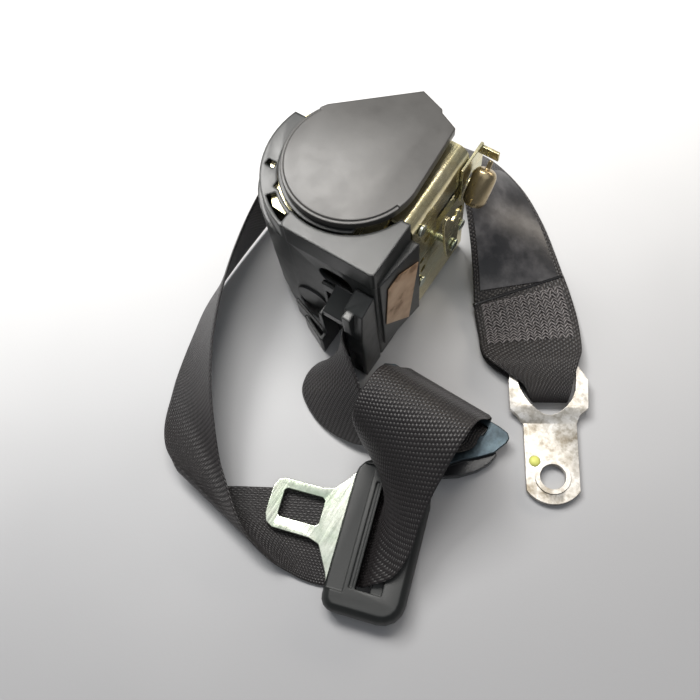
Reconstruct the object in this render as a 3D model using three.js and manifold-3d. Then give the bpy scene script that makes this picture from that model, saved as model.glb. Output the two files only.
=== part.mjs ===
// Car seat belt with inertia retractor, tongue, guide ring and end anchor.
// Millimetres, +Z up. The origin is on the bench under the spool axis, +X is the outside of the
// steel frame's back plate, and the webbing leaves the retractor towards -Y.
import * as THREE from "three";
import * as BufferGeometryUtils from "three/addons/utils/BufferGeometryUtils.js";
import Module from "manifold-3d";

const wasm = await Module();
wasm.setup();

// ---------------------------------------------------------------- driving dimensions
const GAP = 0.3;                 // clearance between separate pieces
const STEEL = 2.5;               // frame sheet thickness
const WEB_W = 47;                // webbing width
const WEB_T = 1.2;               // webbing thickness

const PLATE_X = 36.9;            // outer face of the frame's back plate
const PLATE_Y0 = -11;            // front edge of the back plate
const PLATE_Y1 = 35.6;           // rear edge of the back plate
const FLANGE_TOP = 86;           // upper face of the upper flange
const BODY_X0 = -42;             // left side of the covers
const BODY_Y0 = -40;             // front of the covers
const BODY_Y1 = 38;              // rear of the covers
const WALL = 2;                  // plastic wall
const CASE_Z = 86.3;             // underside of the spring cassette
const COVER_TOP = 95.8;          // top of the cassette cover
const COVER_R = 31.4;            // round part of the cassette cover
const SHOULDER_TOP = 90;         // top of the front block

const SPOOL_Z0 = 3.1;            // underside of the lower spool flange
const SPOOL_Z1 = 53.7;           // top of the upper spool flange
const SPOOL_R = 27;              // spool flange radius
const HUB_R = 14;                // spool hub radius
const COIL_R = 23;               // wound webbing, inner end of its last turn
const TEETH = 12;                // ratchet teeth
const RATCHET_R = 29;            // ratchet tip radius
const RATCHET_ROOT = 25.4;       // ratchet root radius
const BAR_R = 4.6;               // torsion bar radius
const PAWL_PIN = [-29, 20];      // pawl pivot in plan

const BOLT_HOLE_R = 6;           // end anchor bolt hole
const ANCHOR_T = 3;              // end anchor sheet thickness

// ---------------------------------------------------------------- materials
const material = (color, roughness, metalness = 0) =>
  new THREE.MeshStandardMaterial({ color, roughness, metalness });
const BLACK = material(0x26282a, 0.5);
const GREY = material(0x4c4c4c, 0.42);
const DARK = material(0x17181a, 0.45);
const ZINC_YELLOW = material(0xb9a15e, 0.35, 0.9);
const ZINC = material(0xb8b6ae, 0.4, 0.9);
const BRASS = material(0x8b7a44, 0.3, 0.9);
const BLUED = material(0x3d4a55, 0.35, 0.8);
const WEBBING = material(0x1d1a1b, 0.75);
const NYLON = material(0xd8d4c8, 0.5);
const LABEL = material(0xb98f62, 0.6);
const FILM = material(0x1b1c20, 0.3);
const SPRING = material(0x6d7076, 0.35, 0.9);

// ---------------------------------------------------------------- helpers
const assembly = new THREE.Group();

function add(name, geometry, mat) {
  const mesh = new THREE.Mesh(geometry, mat);
  mesh.name = name;
  assembly.add(mesh);
  return mesh;
}

function toSolid(geometry) {
  const bare = geometry.clone();
  bare.deleteAttribute("normal");
  bare.deleteAttribute("uv");
  const merged = BufferGeometryUtils.mergeVertices(bare, 1e-4);
  return new wasm.Manifold(new wasm.Mesh({
    numProp: 3,
    vertProperties: new Float32Array(merged.attributes.position.array),
    triVerts: new Uint32Array(merged.index.array),
  }));
}

function toGeometry(solid) {
  const mesh = solid.getMesh();
  const geometry = new THREE.BufferGeometry();
  geometry.setAttribute("position", new THREE.BufferAttribute(mesh.vertProperties, 3));
  geometry.setIndex(new THREE.BufferAttribute(mesh.triVerts, 1));
  return geometry;
}

const join = (first, ...rest) => rest.reduce((sum, piece) => sum.add(piece), first);
const cut = (first, ...rest) => rest.reduce((sum, piece) => sum.subtract(piece), first);

// A flat outline, [x, y] points.
function outline(points) {
  return new THREE.Shape(points.map(([x, y]) => new THREE.Vector2(x, y)));
}

// A plan outline made solid between two heights.
function slab(shape, z0, z1, segments = 14) {
  const options = { depth: z1 - z0, bevelEnabled: false, curveSegments: segments };
  const geometry = new THREE.ExtrudeGeometry(shape, options);
  geometry.translate(0, 0, z0);
  return geometry;
}

// A (y, z) outline made solid between two places along X.
function plateX(shape, x0, x1, segments = 8) {
  const geometry = slab(shape, x0, x1, segments);
  geometry.rotateX(Math.PI / 2);
  geometry.rotateZ(Math.PI / 2);
  return geometry;
}

// An (x, z) outline made solid between two places along Y.
function plateY(shape, y0, y1, segments = 8) {
  const geometry = slab(shape, -y1, -y0, segments);
  geometry.rotateX(Math.PI / 2);
  return geometry;
}

function box(x0, x1, y0, y1, z0, z1) {
  const geometry = new THREE.BoxGeometry(x1 - x0, y1 - y0, z1 - z0);
  geometry.translate((x0 + x1) / 2, (y0 + y1) / 2, (z0 + z1) / 2);
  return geometry;
}

function disc(x, y, radius, z0, z1, sides = 32) {
  const geometry = new THREE.CylinderGeometry(radius, radius, z1 - z0, sides);
  geometry.rotateX(Math.PI / 2);
  geometry.translate(x, y, (z0 + z1) / 2);
  return geometry;
}

// A pin along X.
function pinX(y, z, radius, x0, x1, sides = 20) {
  const geometry = new THREE.CylinderGeometry(radius, radius, x1 - x0, sides);
  geometry.rotateZ(Math.PI / 2);
  geometry.translate((x0 + x1) / 2, y, z);
  return geometry;
}

// A turned piece about Z; profile points are [radius, z] and close on the axis or on themselves.
function turned(profile, sides = 40) {
  const geometry = new THREE.LatheGeometry(profile.map(([r, z]) => new THREE.Vector2(r, z)), sides);
  geometry.rotateX(Math.PI / 2);
  return geometry;
}

// A ring about Z.
function ring(inner, outer, z0, z1, sides = 40) {
  return turned([[inner, z0], [outer, z0], [outer, z1], [inner, z1], [inner, z0]], sides);
}

function roundedBox(x0, x1, y0, y1, radii) {
  const [rFL, rFR, rBR, rBL] = radii;      // front left, front right, back right, back left
  const shape = new THREE.Shape();
  shape.moveTo(x0 + rFL, y0);
  shape.lineTo(x1 - rFR, y0);
  shape.absarc(x1 - rFR, y0 + rFR, rFR, -Math.PI / 2, 0, false);
  shape.lineTo(x1, y1 - rBR);
  shape.absarc(x1 - rBR, y1 - rBR, rBR, 0, Math.PI / 2, false);
  shape.lineTo(x0 + rBL, y1);
  shape.absarc(x0 + rBL, y1 - rBL, rBL, Math.PI / 2, Math.PI, false);
  shape.lineTo(x0, y0 + rFL);
  shape.absarc(x0 + rFL, y0 + rFL, rFL, Math.PI, 1.5 * Math.PI, false);
  return shape;
}

// ---------------------------------------------------------------- webbing
// A rail point list is made smooth by a Catmull-Rom curve that passes through every point.
function smoothRail(points, steps) {
  const at = points.map((point) => new THREE.Vector3(...point));
  const last = at.length - 1;
  const before = at[0].clone().multiplyScalar(2).sub(at[1]);
  const after = at[last].clone().multiplyScalar(2).sub(at[last - 1]);
  const all = [before, ...at, after];
  const rail = [];
  const blend = (a, b, c, d, t) => 0.5 * (2 * b + (c - a) * t
    + (2 * a - 5 * b + 4 * c - d) * t ** 2 + (3 * b - a - 3 * c + d) * t ** 3);
  for (let i = 1; i < all.length - 2; i += 1) {
    const [a, b, c, d] = [all[i - 1], all[i], all[i + 1], all[i + 2]];
    for (let k = 0; k < steps; k += 1) {
      const t = k / steps;
      rail.push(new THREE.Vector3(...["x", "y", "z"].map((n) => blend(a[n], b[n], c[n], d[n], t))));
    }
  }
  rail.push(at[last]);
  return rail;
}

// A strap between two edge rails: [[edge A], [edge B]] stations, closed all round.
function strap(stations, steps = 3, thickness = WEB_T) {
  const railA = smoothRail(stations.map(([a]) => a), steps);
  const railB = smoothRail(stations.map(([, b]) => b), steps);
  const count = railA.length;
  const positions = [];
  for (let i = 0; i < count; i += 1) {
    const prev = Math.max(i - 1, 0);
    const next = Math.min(i + 1, count - 1);
    const across = railB[i].clone().sub(railA[i]).normalize();
    const ahead = [railA, railB].map((rail) => rail[next].clone().sub(rail[prev]));
    ahead.forEach((along, side) => {
      const edge = side === 0 ? railA[i] : railB[i];
      const both = along.normalize().add(ahead[1 - side].clone().normalize());
      const normal = both.cross(across).normalize().multiplyScalar(thickness / 2);
      positions.push(...edge.clone().add(normal).toArray());
      positions.push(...edge.clone().sub(normal).toArray());
    });
  }
  const index = [];
  const quad = (a, b, c, d) => index.push(a, b, c, a, c, d);
  for (let i = 0; i < count - 1; i += 1) {
    const [aTop, aLow, bTop, bLow] = [0, 1, 2, 3].map((k) => 4 * i + k);
    quad(aTop, aTop + 4, bTop + 4, bTop);
    quad(bLow, bLow + 4, aLow + 4, aLow);
    quad(aLow, aLow + 4, aTop + 4, aTop);
    quad(bTop, bTop + 4, bLow + 4, bLow);
  }
  const end = 4 * (count - 1);
  quad(0, 2, 3, 1);
  quad(end + 2, end, end + 1, end + 3);
  const geometry = new THREE.BufferGeometry();
  geometry.setAttribute("position", new THREE.Float32BufferAttribute(positions, 3));
  geometry.setIndex(index);
  return geometry;
}

// ---------------------------------------------------------------- steel frame
const BEND = 5.5;                // outer radius of the frame's two bends
const PIN_R = 2;                 // pawl pin
const LEVER_PIVOT = [12.5, 44];    // sensor lever pivot, (y, z) on the back plate
const RIVETS = [[-5, 77], [-5, 28], [32, 28]];
const RIVET_R = 1.6;

function makeFrame() {
  const inner = BEND - STEEL;
  const far = -44;
  const cornerX = PLATE_X - BEND;
  const profile = new THREE.Shape();
  profile.moveTo(far, 0);
  profile.lineTo(cornerX, 0);
  profile.absarc(cornerX, BEND, BEND, -Math.PI / 2, 0, false);
  profile.lineTo(PLATE_X, FLANGE_TOP - BEND);
  profile.absarc(cornerX, FLANGE_TOP - BEND, BEND, 0, Math.PI / 2, false);
  profile.lineTo(far, FLANGE_TOP);
  profile.lineTo(far, FLANGE_TOP - STEEL);
  profile.lineTo(cornerX, FLANGE_TOP - STEEL);
  profile.absarc(cornerX, FLANGE_TOP - BEND, inner, Math.PI / 2, 0, true);
  profile.lineTo(PLATE_X - STEEL, BEND);
  profile.absarc(cornerX, BEND, inner, 0, -Math.PI / 2, true);
  profile.lineTo(far, STEEL);
  const channel = toSolid(plateY(profile, -33, PLATE_Y1));
  const plan = outline([
    [26, -30], [26, PLATE_Y0], [PLATE_X + 1, PLATE_Y0], [PLATE_X + 1, PLATE_Y1], [8, PLATE_Y1],
    [-8, 34.5], [-22, 30], [-31, 22.5], [-36.5, 12], [-37, -10], [-31, -22],
    [-26.5, -26], [-21, -32.5], [-14, -33], [-13, -30],
  ]);
  const frame = channel.intersect(toSolid(slab(plan, 0, FLANGE_TOP + 5)));
  const lowHole = toSolid(disc(0, 0, 8.3, -5, 30));
  const topHole = toSolid(disc(0, 0, 11.3, 80, 90));
  const pawlHole = toSolid(disc(...PAWL_PIN, PIN_R + GAP, -5, 90));
  const through = (y, z, radius) => toSolid(pinX(y, z, radius, 30, 42));
  const window = toSolid(box(30, 42, 9, 29, 57, 68));
  const smallHoles = [[-3.3, 45.7, 1.8], [-2.2, 36, 2.2], [1.2, 61, 2.6]];
  const mountHole = through(28, 42, 5.5);
  return cut(
    frame, lowHole, topHole, pawlHole, window, mountHole,
    through(...LEVER_PIVOT, 2),
    ...smallHoles.map((hole) => through(...hole)),
    ...RIVETS.map(([y, z]) => through(y, z, RIVET_R + GAP)),
  );
}
add("steel_frame", toGeometry(makeFrame()), ZINC_YELLOW);

RIVETS.forEach(([y, z], i) => {
  const shank = toSolid(pinX(y, z, RIVET_R, PLATE_X - STEEL - 0.5, PLATE_X + 0.5));
  const head = toSolid(pinX(y, z, 3, PLATE_X + GAP, PLATE_X + 1.8));
  const tail = toSolid(pinX(y, z, 2.6, PLATE_X - STEEL - 1.6, PLATE_X - STEEL - GAP));
  add(`frame_rivet_${i + 1}`, toGeometry(join(shank, head, tail)), ZINC);
});

// ---------------------------------------------------------------- spring cassette
// The plan of the cassette: round, with a straight side towards the back plate and a pointed rear.
function casePlan(inset) {
  const radius = COVER_R - inset;
  const shape = new THREE.Shape();
  shape.absarc(0, 0, radius, 0.8 * Math.PI, 2 * Math.PI, false);
  shape.lineTo(29.3 - inset, 35.5 - 0.7 * inset);
  shape.lineTo(20.3 - 0.6 * inset, 39.6 - inset);
  shape.lineTo(19.3 - 0.5 * inset, 41.2 - 1.1 * inset);
  shape.lineTo(7.2 - 0.2 * inset, 45.5 - 1.3 * inset);
  return shape;
}

const CASE_INSET = 3.2;          // how far the base sits inside the cover's rim
const SPLIT_Z = 91;              // top of the cassette base
const ARBOR_R = 7.4;

function makeCassetteBase() {
  const shell = toSolid(slab(casePlan(CASE_INSET), CASE_Z, SPLIT_Z, 30));
  const lip = cut(
    toSolid(disc(0, 0, 33, SPLIT_Z - 1.7, SPLIT_Z, 60)),
    toSolid(box(18, 40, -40, 40, 80, 95)),
    toSolid(box(-40, 40, 12, 40, 80, 95)),
  );
  const inside = toSolid(slab(casePlan(CASE_INSET + WALL), CASE_Z + 1.5, SPLIT_Z + 1, 30));
  return cut(join(shell, lip), inside, toSolid(disc(0, 0, ARBOR_R + 0.8, 80, 95)));
}
add("spring_cassette_base", toGeometry(makeCassetteBase()), DARK);

function makeCassetteCover() {
  const shell = toSolid(slab(casePlan(0), SPLIT_Z + GAP, COVER_TOP, 40));
  const inside = toSolid(slab(casePlan(CASE_INSET), SPLIT_Z, COVER_TOP - 1.8, 30));
  const rim = new THREE.Shape();
  rim.absarc(0, 0, 33, 0.84 * Math.PI, 1.9 * Math.PI, false);
  rim.absarc(0, 0, 29.9, 1.9 * Math.PI, 0.84 * Math.PI, true);
  return cut(shell, inside, toSolid(slab(rim, COVER_TOP - 0.7, COVER_TOP + 1, 30)));
}
add("spring_cassette_cover", toGeometry(makeCassetteCover()), GREY);

function spiralShape(r0, r1, turns, thickness, perTurn = 20) {
  const count = Math.round(turns * perTurn);
  const place = (i, extra) => {
    const angle = (2 * Math.PI * i) / perTurn;
    const radius = r0 + ((r1 - r0) * i) / count + extra;
    return [radius * Math.cos(angle), radius * Math.sin(angle)];
  };
  const steps = [...Array(count + 1).keys()];
  return outline([...steps.map((i) => place(i, thickness)), ...steps.reverse().map((i) => place(i, 0))]);
}
add("spiral_spring", slab(spiralShape(9, 24.6, 7, 0.9), CASE_Z + 2, SPLIT_Z + 2.2), SPRING);

// ---------------------------------------------------------------- spool and what turns with it
const BORE_R = BAR_R + GAP;
const COIL_Z0 = SPOOL_Z0 + 1.8;
const COIL_Z1 = COIL_Z0 + WEB_W;

function makeSpool() {
  const thick = 1.5;
  return turned([
    [BORE_R, SPOOL_Z0], [SPOOL_R, SPOOL_Z0], [SPOOL_R, SPOOL_Z0 + thick],
    [HUB_R, SPOOL_Z0 + thick], [HUB_R, SPOOL_Z1 - thick], [SPOOL_R, SPOOL_Z1 - thick],
    [SPOOL_R, SPOOL_Z1], [BORE_R, SPOOL_Z1], [BORE_R, SPOOL_Z0],
  ], 48);
}
add("spool", makeSpool(), NYLON);

function makeCoil() {
  const turnSteps = 48;
  const shape = outline([...Array(turnSteps + 1).keys()].map((i) => {
    const angle = (2 * Math.PI * i) / turnSteps;
    const radius = COIL_R + (WEB_T * i) / turnSteps;
    return [radius * Math.cos(angle), radius * Math.sin(angle)];
  }));
  const centre = new THREE.Path();
  centre.absarc(0, 0, HUB_R + GAP, 0, 2 * Math.PI, true);
  shape.holes.push(centre);
  return slab(shape, COIL_Z0, COIL_Z1, 18);
}
add("wound_webbing", makeCoil(), WEBBING);

function ratchetShape() {
  const toothStep = 360 / TEETH;
  const points = [];
  const place = (radius, degrees) => {
    const angle = THREE.MathUtils.degToRad(degrees);
    points.push([radius * Math.cos(angle), radius * Math.sin(angle)]);
  };
  for (let k = 0; k < TEETH; k += 1) {
    place(RATCHET_ROOT, k * toothStep - 8);
    place(RATCHET_ROOT, k * toothStep);
    place(RATCHET_ROOT, k * toothStep + 8);
    place(RATCHET_R, k * toothStep + 10);
    place(RATCHET_R, k * toothStep + 12.5);
  }
  const shape = outline(points);
  const bore = new THREE.Path();
  bore.absarc(0, 0, BORE_R, 0, 2 * Math.PI, true);
  shape.holes.push(bore);
  return shape;
}
const RATCHET_Z = [SPOOL_Z1 + GAP, SPOOL_Z1 + 4.3];
add("ratchet_wheel", slab(ratchetShape(), ...RATCHET_Z), ZINC);

const CLUTCH_Z = RATCHET_Z[1] + GAP;
add("lock_clutch", turned([
  [BORE_R, CLUTCH_Z], [22, CLUTCH_Z], [22, CLUTCH_Z + 6], [12, CLUTCH_Z + 7.5], [12, CLUTCH_Z + 12],
  [BORE_R, CLUTCH_Z + 12], [BORE_R, CLUTCH_Z],
], 40), NYLON);
const DISC_Z = CLUTCH_Z + 12 + GAP;
add("inertia_disc", ring(BORE_R, 25, DISC_Z, DISC_Z + 4, 48), DARK);

const BAR_TOP = 82;
add("torsion_bar", turned([[0, 1.2], [BAR_R, 1.2], [BAR_R, BAR_TOP], [0, BAR_TOP]], 32), ZINC);
add("spring_arbor", turned([
  [0, BAR_TOP + GAP], [ARBOR_R, BAR_TOP + GAP], [ARBOR_R, SPLIT_Z + 1.5], [0, SPLIT_Z + 1.5],
], 32), NYLON);
add("lower_spool_bush", turned([
  [0, 0], [8, 0], [8, SPOOL_Z0 - GAP], [BORE_R, SPOOL_Z0 - GAP], [BORE_R, 0.9], [0, 0.9],
], 32), NYLON);
add("upper_spool_bush", ring(ARBOR_R + GAP, 11, FLANGE_TOP - STEEL, FLANGE_TOP, 32), NYLON);

// ---------------------------------------------------------------- locking pawl
function makePawl() {
  const [px, py] = PAWL_PIN;
  const armWidth = 4.4;
  const sleeve = toSolid(disc(px, py, 4.4, RATCHET_Z[0] - 6, RATCHET_Z[1] + 6, 28));
  const tipX = -RATCHET_R - 0.8;
  const arm = outline([
    [px - armWidth / 2, py], [tipX - 4.6, 4], [tipX - 3, -2.2], [tipX, -2.2], [tipX, 1.6],
    [px + armWidth / 2 - 3.4, py - 3],
  ]);
  return cut(join(sleeve, toSolid(slab(arm, ...RATCHET_Z))), toSolid(disc(px, py, PIN_R + GAP, 0, 95, 24)));
}
add("locking_pawl", toGeometry(makePawl()), ZINC);
add("pawl_pin", disc(...PAWL_PIN, PIN_R, GAP, FLANGE_TOP - GAP, 24), ZINC);

// ---------------------------------------------------------------- covers
const bodyPlan = (inset) => roundedBox(
  BODY_X0 + inset, 36 - inset, BODY_Y0 + inset, BODY_Y1 - inset, [34, 2.5, 2.5, 36].map((r) => r - inset),
);
const UPPER_R = 41.5;            // round upper part of the webbing cover
const LEDGE_Z = 78;              // where the round part starts
const REAR_Y = 12;               // behind this line the cover stays lower
const REAR_Z = 72;
const SKIRT_Z = 0.5;
const FOOT_Z = 14;               // top of the slightly narrower foot
const MOUTH = { x0: 10, x1: 26.3, z1: 51.5 };
const SIDE_FRONT = [37.2, -37.5]; // the right side swells out to cover the edge of the back plate
const SIDE_REAR = [40.6, PLATE_Y0 - 0.4];

function stadium(cx, cz, half, radius) {
  const shape = new THREE.Shape();
  shape.absarc(cx + half, cz, radius, -Math.PI / 2, Math.PI / 2, false);
  shape.absarc(cx - half, cz, radius, Math.PI / 2, 1.5 * Math.PI, false);
  return shape;
}

// A flat piece of a ring between two angles in degrees.
function sector(r0, r1, from, to) {
  const [a0, a1] = [from, to].map(THREE.MathUtils.degToRad);
  const shape = new THREE.Shape();
  shape.absarc(0, 0, r1, a0, a1, false);
  shape.absarc(0, 0, r0, a1, a0, true);
  return shape;
}

function makeWebbingCover() {
  const low = toSolid(slab(bodyPlan(0), SKIRT_Z, LEDGE_Z));
  const round = toSolid(disc(0, 0, UPPER_R, LEDGE_Z - 1, CASE_Z + WALL, 72))
    .intersect(toSolid(slab(bodyPlan(0), 0, 100)));
  const blockPlan = roundedBox(-11.2, 36.3, BODY_Y0 - 0.25, 0, [2.6, 2.2, 0.5, 0.5]);
  const block = toSolid(slab(blockPlan, LEDGE_Z - 1.2, SHOULDER_TOP));
  const sidePad = toSolid(slab(outline([
    [33, BODY_Y0 + 2.5], SIDE_FRONT, SIDE_REAR, [33, SIDE_REAR[1]],
  ]), SKIRT_Z, LEDGE_Z - 0.5));
  const rearTop = toSolid(box(-60, 60, REAR_Y, 60, REAR_Z, 100));
  const hollowLow = toSolid(slab(bodyPlan(WALL), -1, LEDGE_Z - WALL));
  const hollowTop = toSolid(disc(0, 0, UPPER_R - WALL, 70, CASE_Z, 72))
    .intersect(toSolid(slab(bodyPlan(WALL), 0, 100)));
  const hollowBlock = toSolid(box(-9, 34, BODY_Y0 + WALL, 0, 70, CASE_Z));
  const foot = toSolid(slab(bodyPlan(-6), -1, FOOT_Z))
    .subtract(toSolid(slab(bodyPlan(0.9), -2, FOOT_Z + 1)));
  const cassette = toSolid(disc(0, 0, 33.6, CASE_Z - 0.2, 100, 72));
  const plateSide = toSolid(box(32.6, 45, SIDE_REAR[1], 45, -1, 100));
  const flangeView = toSolid(box(22, 45, SIDE_REAR[1], 45, FLANGE_TOP, 100));
  const peepHole = toSolid(plateY(stadium(14.8, 65.2, 2.5, 6.2), BODY_Y0 - 5, BODY_Y0 + 6, 12));
  const slot = toSolid(slab(sector(35.4, 39.7, 230, 252), CASE_Z - 0.5, 100, 12));
  const notches = [[-35.5, -31, -17.6, -14.6], [-25.4, -22, -25.2, -22]];
  const mouth = toSolid(box(MOUTH.x0, MOUTH.x1, BODY_Y0 - 3, BODY_Y0 + 6, -1, MOUTH.z1));
  const boss = toSolid(plateY(stadium(-2, 28, 0.5, 9), BODY_Y0 - 0.9, BODY_Y0 + 1, 14));
  return cut(
    join(low.subtract(rearTop), round.subtract(rearTop), block, sidePad, boss),
    hollowLow, hollowTop, hollowBlock, cassette, plateSide, flangeView, peepHole, slot, mouth, foot,
    ...notches.map((edges) => toSolid(box(...edges, CASE_Z - 0.5, 100))),
  );
}
add("webbing_cover", toGeometry(makeWebbingCover()), BLACK);

// The webbing guide stands in front of the mouth: a side wall with two ribs, a sloping roof and a
// stepped block on the side of the back plate.
function makeWebbingGuide() {
  const y1 = BODY_Y0 - GAP;
  const y0 = -52.5;
  const side = box(8, MOUTH.x0, -49, y1, 0.5, 38);
  const toe = box(8, MOUTH.x0, y0 - 0.5, y1, 0.5, 15);
  const jamb = box(8, MOUTH.x0, -42.3, y1, 0.5, 59);
  const head = box(8, 28, -42.3, y1, 52.4, 59);
  const roof = plateX(outline([[y1, 58.5], [y0, 51.8], [y0, 56.5], [y1, 63]]), 15.5, 27);
  const block = plateX(outline([[y1, 0.5], [y0, 0.5], [y0, 44], [-50, 66], [y1, 69.5]]), MOUTH.x1, 35.6);
  const fin = box(27.5, 31.5, -54, -49.5, 50.5, 66);
  const recess = box(28.5, 33.5, -60, -51, 2, 26);
  const ribs = [[-14, -41, 0], [-5, -46, 4]].map(([x, y, dy]) => plateRib(x, y, 9, -48.5 - dy));
  const solids = [toe, jamb, head, roof, block, fin].map(toSolid);
  return cut(join(toSolid(side), ...solids, ...ribs), toSolid(recess));
}

// A thin upright rib between two plan points.
function plateRib(x0, y0, x1, y1) {
  const half = 0.8;
  const along = new THREE.Vector2(x1 - x0, y1 - y0).normalize();
  const side = [-along.y * half, along.x * half];
  const shape = outline([
    [x0 - side[0], y0 - side[1]], [x1 - side[0], y1 - side[1]],
    [x1 + side[0], y1 + side[1]], [x0 + side[0], y0 + side[1]],
  ]);
  return toSolid(slab(shape, 0.5, 15));
}
add("webbing_guide", toGeometry(makeWebbingGuide()), BLACK);

// The label lies on the slanting side, its outline given along that side and upwards.
const sideLabel = plateX(outline([[1.6, 36], [17.6, 17], [25, 64], [19, 67], [12, 71], [4.6, 68]]), GAP, 0.6);
sideLabel.rotateZ(Math.atan2(SIDE_FRONT[0] - SIDE_REAR[0], SIDE_REAR[1] - SIDE_FRONT[1]));
sideLabel.translate(...SIDE_FRONT, 0);
add("blank_side_label", sideLabel, LABEL);

// ---------------------------------------------------------------- vehicle sensor on the back plate
const BRACKET_X = PLATE_X + GAP;
const MASS_AT = [45, 33, 66];    // centre of the sensor weight
const MASS_TILT = -0.75;         // radians about X: the weight has dropped forward against its stop
const MASS_HALF = 9.2;
const MASS_R = 5.6;

function makeBracket() {
  const back = box(BRACKET_X, BRACKET_X + 1.5, 28, 46, 56, 80);
  const hook = box(BRACKET_X, 47, 44.5, 46, 73, 78.5);
  const lightening = toSolid(pinX(36, 65, 4, 30, 42));
  return cut(join(...[back, hook].map(toSolid)), lightening);
}
add("sensor_bracket", toGeometry(makeBracket()), ZINC_YELLOW);

const mass = turned([
  [0, -MASS_HALF], [2.6, -MASS_HALF], [4, 0.5 - MASS_HALF], [5, 1.6 - MASS_HALF], [MASS_R, 3.6 - MASS_HALF],
  [MASS_R, MASS_HALF - 3.6], [5, MASS_HALF - 1.6], [4, MASS_HALF - 0.5], [2.6, MASS_HALF],
  [1.1, MASS_HALF], [1.1, MASS_HALF + 4], [0, MASS_HALF + 4],
], 28);
mass.rotateX(MASS_TILT);
mass.translate(...MASS_AT);
add("sensor_weight", mass, BRASS);

// The lever's outline: a forked head on a short arm, (y, z) on the back plate.
const LEVER_X = [42.6, 44];
function makeLever() {
  const shape = outline([
    [4.2, 66], [4, 73], [5.6, 75.6], [8, 75], [9.4, 70], [11.6, 66.6], [14, 67], [15.4, 69.4], [17.4, 68.6],
    [18.2, 64], [17.6, 56], [17, 44], [15.6, 37], [12, 34], [8.6, 37], [6.6, 46],
  ]);
  return cut(toSolid(plateX(shape, ...LEVER_X)), toSolid(pinX(...LEVER_PIVOT, 2, 30, 45)));
}
add("sensor_lever", toGeometry(makeLever()), ZINC);
add("lever_pin", toGeometry(join(
  toSolid(pinX(...LEVER_PIVOT, 1.7, 33, LEVER_X[1] + 0.5)),
  toSolid(pinX(...LEVER_PIVOT, 3, LEVER_X[1] + GAP, LEVER_X[1] + 1.4)),
)), ZINC);

// ---------------------------------------------------------------- guide ring
const RING_Z = [5.5, 8];         // steel plate of the guide ring
const SLOT_Y = [-50.5, -46];     // slot of the guide ring, across its webbing
const RING_BOLT = [79.5, -69];     // bolt hole of the guide ring
const RING_BOLT_R = 5.5;

function makeRingPlate() {
  const plan = outline([
    [46, -42], [105.5, -42.4], [110, -43], [112, -45], [112, -47.5], [109.4, -55], [104.8, -60.3],
    [99, -65.6], [92, -74], [87, -79], [79.5, -80.5],
    [72, -79], [67, -75], [43, -53], [40.5, -49], [41, -44.5],
  ]);
  const slot = box(52.3, 100.7, ...SLOT_Y, 0, 12);
  return cut(toSolid(slab(plan, ...RING_Z)), toSolid(slot), toSolid(disc(...RING_BOLT, RING_BOLT_R, 0, 12)));
}
add("guide_ring_plate", toGeometry(makeRingPlate()), BLUED);

function makeRingLiner() {
  const plan = outline([
    [46, -51], [108, -51], [111, -55], [110, -60], [107, -66], [101, -73], [94, -78], [86, -80.5],
    [72, -80.5], [64, -75], [45, -56],
  ]);
  const recess = outline([[52, -54], [100, -54], [97, -60], [60, -60]]);
  const body = toSolid(slab(plan, 0.4, RING_Z[0] - GAP));
  return cut(body, toSolid(slab(recess, -1, 3.4)), toSolid(disc(...RING_BOLT, RING_BOLT_R + 1.5, -1, 12)));
}
add("guide_ring_liner", toGeometry(makeRingLiner()), BLACK);

// ---------------------------------------------------------------- tongue
const TONGUE = { x: 84, y: -118.5, turn: THREE.MathUtils.degToRad(198) };
const ANCHOR = { x: 138, y: -49, turn: THREE.MathUtils.degToRad(121.7) };

function placed(solid, frame) {
  const geometry = toGeometry(solid);
  geometry.rotateZ(frame.turn);
  geometry.translate(frame.x, frame.y, 0);
  return geometry;
}

// Rings of equal point count joined one above another and closed at both ends.
function loft(rings) {
  const count = rings[0].length;
  const positions = rings.flat(2);
  const index = [];
  for (let k = 0; k < rings.length - 1; k += 1) {
    for (let i = 0; i < count; i += 1) {
      const j = (i + 1) % count;
      const [a, b] = [k * count + i, k * count + j];
      index.push(a, b, b + count, a, b + count, a + count);
    }
  }
  const top = (rings.length - 1) * count;
  for (let i = 1; i < count - 1; i += 1) {
    index.push(0, i + 1, i, top, top + i, top + i + 1);
  }
  const geometry = new THREE.BufferGeometry();
  geometry.setAttribute("position", new THREE.Float32BufferAttribute(positions, 3));
  geometry.setIndex(index);
  return geometry;
}

const BLADE_Z = [4, 6.5];
const GRIP_Z0 = 2.6;
const TONGUE_SLOT = [-4.2, 2.6]; // the webbing slot, across the webbing

function makeBlade() {
  const plan = outline([
    [6, -31], [14, -31], [16.5, -28], [19, -24], [24.5, -17.5], [30, -16.2], [49, -16.2], [52, -14.5],
    [53.5, -11], [53.5, 2], [52, 6], [48.5, 8], [30, 8.2], [25, 9.8], [18.5, 21], [16.5, 26],
    [14, 28.5], [6, 28.5],
  ]);
  const window = outline([
    [28.8, -11.5], [46.5, -11.5], [47.5, -10.5], [47.5, 1], [46.5, 2], [28.8, 2], [27.5, 0.8], [27.5, -10.3],
  ]);
  return cut(toSolid(slab(plan, ...BLADE_Z)), toSolid(slab(window, 0, 12)));
}
add("tongue_blade", placed(makeBlade(), TONGUE), ZINC);

// The grip's plan, pulled in towards its middle for the rounded upper levels.
const GRIP_U = [-21, 16.6];
const GRIP_V = [-35.6, 36.8];
const GRIP_CORNERS = [[1, 0, 10], [1, 1, 6.5], [0, 1, 11], [0, 0, 16]];

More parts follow.
